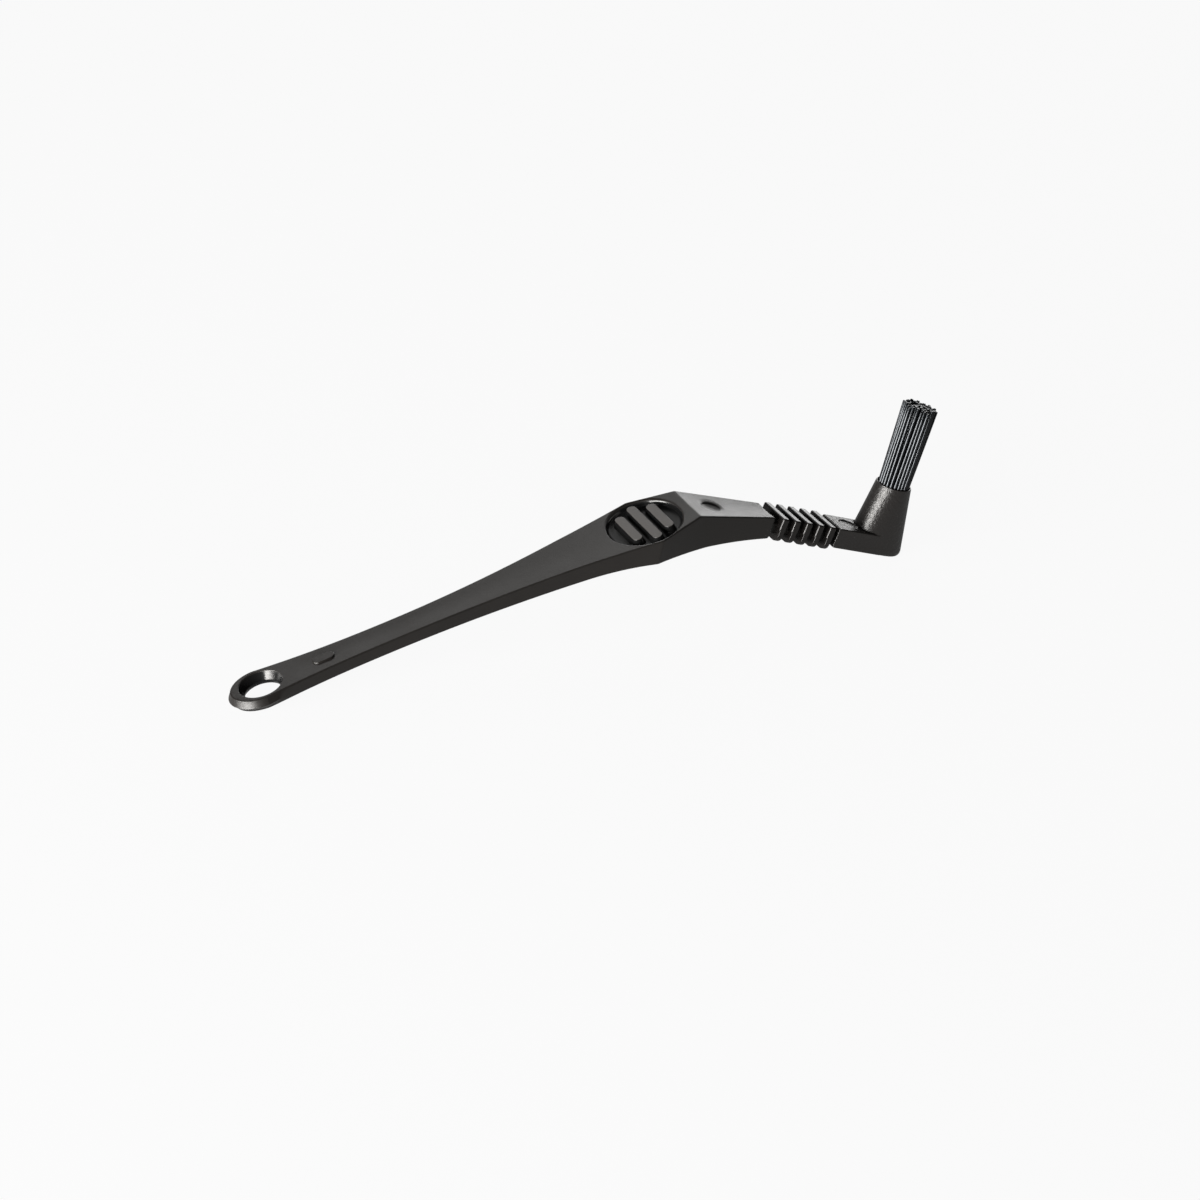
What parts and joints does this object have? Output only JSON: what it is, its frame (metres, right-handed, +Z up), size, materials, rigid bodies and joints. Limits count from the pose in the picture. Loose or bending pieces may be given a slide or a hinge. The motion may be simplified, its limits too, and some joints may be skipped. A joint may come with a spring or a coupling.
{
  "type": "group head brush",
  "caption": "Group head cleaning brush: flat handle with hanging ring and thumb dish, ribbed flexing neck, and an angled socket that holds an upright tuft of stiff strands.",
  "frame": {"origin": "on the surface that the brush lies on, under the middle of its bounding box", "axes": "+X along the brush from the hanging ring to the head, +Y across it, +Z up, the way the tuft points"},
  "size_m": [0.2214, 0.0252, 0.0499],
  "materials": {
    "handle_plastic": "fine-grained matte moulded plastic",
    "neck_plastic": "satin moulded plastic",
    "head_plastic": "coarser-grained matte moulded plastic",
    "strand_plastic": "smooth drawn filament"
  },
  "bodies": {
    "handle": {"handle": "handle_plastic"},
    "link_1": {"neck_link_1": "neck_plastic"},
    "link_2": {"neck_link_2": "neck_plastic"},
    "link_3": {"neck_link_3": "neck_plastic"},
    "link_4": {"neck_link_4": "neck_plastic"},
    "link_5": {"neck_link_5": "neck_plastic"},
    "head": {"head": "head_plastic", "bristle_tuft": "strand_plastic"}
  },
  "joints": [
    {"name": "neck_flex_1", "type": "hinge", "parent": "handle", "child": "link_1", "pos_m": [0.0552, 0, 0.02059], "axis": [0, 1, 0], "range_deg": [-2.5, 2.5], "stiffness_Nm_per_rad": 12},
    {"name": "neck_flex_2", "type": "hinge", "parent": "link_1", "child": "link_2", "pos_m": [0.05922, 0, 0.01901], "axis": [0, 1, 0], "range_deg": [-2.5, 2.5], "stiffness_Nm_per_rad": 12},
    {"name": "neck_flex_3", "type": "hinge", "parent": "link_2", "child": "link_3", "pos_m": [0.06331, 0, 0.01739], "axis": [0, 1, 0], "range_deg": [-2.5, 2.5], "stiffness_Nm_per_rad": 12},
    {"name": "neck_flex_4", "type": "hinge", "parent": "link_3", "child": "link_4", "pos_m": [0.06741, 0, 0.01578], "axis": [0, 1, 0], "range_deg": [-2.5, 2.5], "stiffness_Nm_per_rad": 12},
    {"name": "neck_flex_5", "type": "hinge", "parent": "link_4", "child": "link_5", "pos_m": [0.0715, 0, 0.01417], "axis": [0, 1, 0], "range_deg": [-2.5, 2.5], "stiffness_Nm_per_rad": 12},
    {"name": "neck_flex_6", "type": "hinge", "parent": "link_5", "child": "head", "pos_m": [0.0755, 0, 0.01259], "axis": [0, 1, 0], "range_deg": [-2.5, 2.5], "stiffness_Nm_per_rad": 12}
  ]
}
